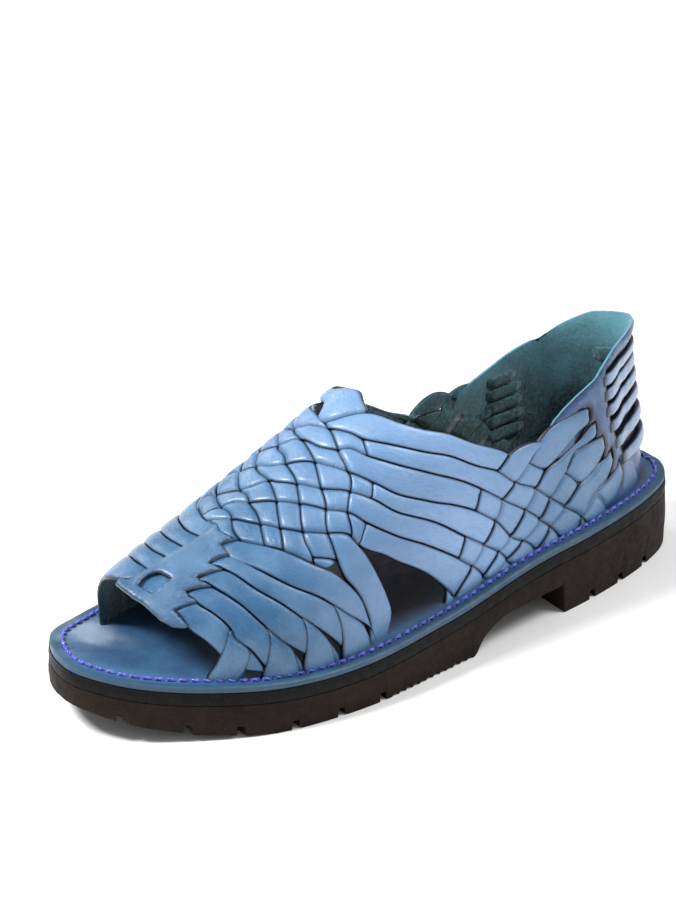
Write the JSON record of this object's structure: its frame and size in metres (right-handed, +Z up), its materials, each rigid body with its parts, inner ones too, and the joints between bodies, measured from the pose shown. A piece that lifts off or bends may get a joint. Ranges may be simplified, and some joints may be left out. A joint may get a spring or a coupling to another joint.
{
  "type": "huarache sandal",
  "caption": "Left huarache sandal: woven leather strap upper with open toe, cut-away sides, banded heel counter and a stitched insole on a lug rubber sole with a heel block.",
  "frame": {"origin": "on the floor, under the middle of the sole's bounding box", "axes": "+Y from toe to heel, +Z up from the floor, +X towards the lateral (outer) side of the left foot"},
  "size_m": [0.1024, 0.2898, 0.1053],
  "materials": {
    "outsole": "matt moulded dark brown rubber",
    "midsole": "matt black rubber",
    "insole": "smooth dyed leather, teal raw edge",
    "strap": "dyed blue leather straps, soft gloss, navy edges",
    "vamp_plate": "dyed blue leather, soft gloss",
    "heel_counter": "dyed blue leather with teal suede inside",
    "heel_band": "dyed blue leather, soft gloss"
  },
  "bodies": {
    "root": {"outsole": "outsole", "midsole": "midsole", "insole": "insole", "upper": "strap", "vamp_plate": "vamp_plate", "heel_counter": "heel_counter", "heel_band_1": "heel_band", "heel_band_2": "heel_band", "heel_band_3": "heel_band", "heel_band_4": "heel_band", "heel_band_5": "heel_band", "heel_band_6": "heel_band"}
  },
  "joints": []
}
